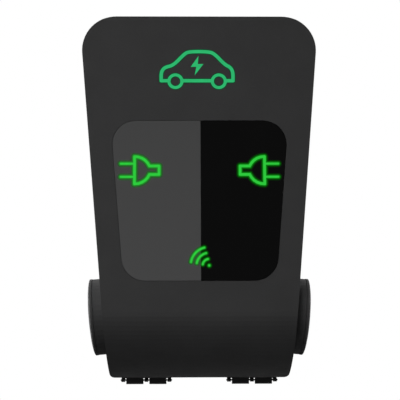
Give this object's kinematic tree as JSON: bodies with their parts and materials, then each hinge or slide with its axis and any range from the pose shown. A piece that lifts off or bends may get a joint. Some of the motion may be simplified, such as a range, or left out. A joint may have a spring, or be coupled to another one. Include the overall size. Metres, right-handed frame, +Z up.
{
  "type": "electric vehicle charging station head",
  "caption": "Tapered wall-hung charging head with a leaning glossy display, lit symbols, a hinged front cover and a lidded side outlet in each end of its round belly.",
  "frame": {"origin": "middle of the wall bracket's rear face", "axes": "+X to the viewer's right, +Y into the wall, +Z up; the front faces -Y"},
  "size_m": [0.2382, 0.161, 0.379],
  "materials": {
    "casing": "fine matte grain",
    "window": "high gloss",
    "guide": "translucent green",
    "outlet": "satin grain",
    "rubber": "matte",
    "steel": "zinc plated",
    "spring": "drawn wire",
    "module": "satin",
    "lever": "satin",
    "button": "satin",
    "carrier": "matte",
    "board": "solder mask",
    "terminal": "matte",
    "brass": "satin",
    "sheath": "matte sheath"
  },
  "bodies": {
    "base": {"rear_housing": "casing", "outlet_collar_left": "outlet", "outlet_collar_right": "outlet", "outlet_body_left": "outlet", "outlet_body_right": "outlet", "terminal_cap_left": "carrier", "terminal_cap_right": "carrier", "contact_block_left": "outlet", "contact_block_right": "outlet", "hinge_leaf_left": "outlet", "hinge_leaf_right": "outlet", "cover_seal": "rubber", "supply_grommet": "rubber", "data_grommet_left": "rubber", "data_grommet_right": "rubber", "wall_bracket": "steel", "upper_din_rail": "steel", "lower_din_rail": "steel", "cover_screw_left": "steel", "cover_screw_right": "steel", "hinge_pin_left": "steel", "hinge_pin_right": "steel", "lid_pin_left": "steel", "lid_pin_right": "steel", "lid_spring_left": "spring", "lid_spring_right": "spring", "breaker_left": "module", "breaker_right": "module", "contactor_left": "module", "contactor_right": "module", "energy_meter_left": "module", "energy_meter_right": "module", "power_supply": "carrier", "board_carrier": "carrier", "outlet_saddle_left": "carrier", "outlet_saddle_right": "carrier", "lock_actuator_left": "carrier", "lock_actuator_right": "carrier", "control_board": "board", "tag_reader": "board", "supply_terminal_block": "terminal", "earth_bar": "brass", "outlet_loom_left": "sheath", "outlet_loom_right": "sheath"},
    "cover": {"front_cover": "casing", "display_window": "window", "vehicle_light_guide": "guide", "left_plug_light_guide": "guide", "right_plug_light_guide": "guide", "tag_light_guide": "guide"},
    "lid_left": {"outlet_lid_left": "outlet"},
    "lock_left": {"lock_pin_left": "steel"},
    "lever_left": {"breaker_lever_left": "lever"},
    "button_left": {"test_button_left": "button"},
    "slide_left": {"contactor_slide_left": "lever"},
    "lid_right": {"outlet_lid_right": "outlet"},
    "lock_right": {"lock_pin_right": "steel"},
    "lever_right": {"breaker_lever_right": "lever"},
    "button_right": {"test_button_right": "button"},
    "slide_right": {"contactor_slide_right": "lever"}
  },
  "joints": [
    {"name": "cover_hinge", "type": "hinge", "parent": "base", "child": "cover", "pos_m": [0, -0.098, -0.1872], "axis": [1, 0, 0], "range_deg": [0, 95]},
    {"name": "lid_hinge_left", "type": "hinge", "parent": "base", "child": "lid_left", "pos_m": [-0.1084, -0.0622, -0.12209], "axis": [0.0857, 0, -0.9963], "range_deg": [0, 90], "stiffness_Nm_per_rad": 0.02, "springref_deg": -28.65},
    {"name": "lock_travel_left", "type": "slide", "parent": "base", "child": "lock_left", "axis": [0.0857, 0, -0.9963], "range_m": [0, 0.006]},
    {"name": "lever_throw_left", "type": "hinge", "parent": "base", "child": "lever_left", "pos_m": [-0.038, -0.068, 0.112], "axis": [1, 0, 0], "range_deg": [0, 70]},
    {"name": "test_press_left", "type": "slide", "parent": "base", "child": "button_left", "axis": [0, 1, 0], "range_m": [0, 0.002], "stiffness_N_per_m": 150, "springref_m": -0.002},
    {"name": "contactor_press_left", "type": "slide", "parent": "base", "child": "slide_left", "axis": [0, 1, 0], "range_m": [0, 0.003], "stiffness_N_per_m": 150, "springref_m": -0.002},
    {"name": "lid_hinge_right", "type": "hinge", "parent": "base", "child": "lid_right", "pos_m": [0.1084, -0.0622, -0.12209], "axis": [0.0857, 0, 0.9963], "range_deg": [0, 90], "stiffness_Nm_per_rad": 0.02, "springref_deg": -28.65},
    {"name": "lock_travel_right", "type": "slide", "parent": "base", "child": "lock_right", "axis": [-0.0857, 0, -0.9963], "range_m": [0, 0.006]},
    {"name": "lever_throw_right", "type": "hinge", "parent": "base", "child": "lever_right", "pos_m": [0.038, -0.068, 0.112], "axis": [1, 0, 0], "range_deg": [0, 70]},
    {"name": "test_press_right", "type": "slide", "parent": "base", "child": "button_right", "axis": [0, 1, 0], "range_m": [0, 0.002], "stiffness_N_per_m": 150, "springref_m": -0.002},
    {"name": "contactor_press_right", "type": "slide", "parent": "base", "child": "slide_right", "axis": [0, 1, 0], "range_m": [0, 0.003], "stiffness_N_per_m": 150, "springref_m": -0.002}
  ]
}
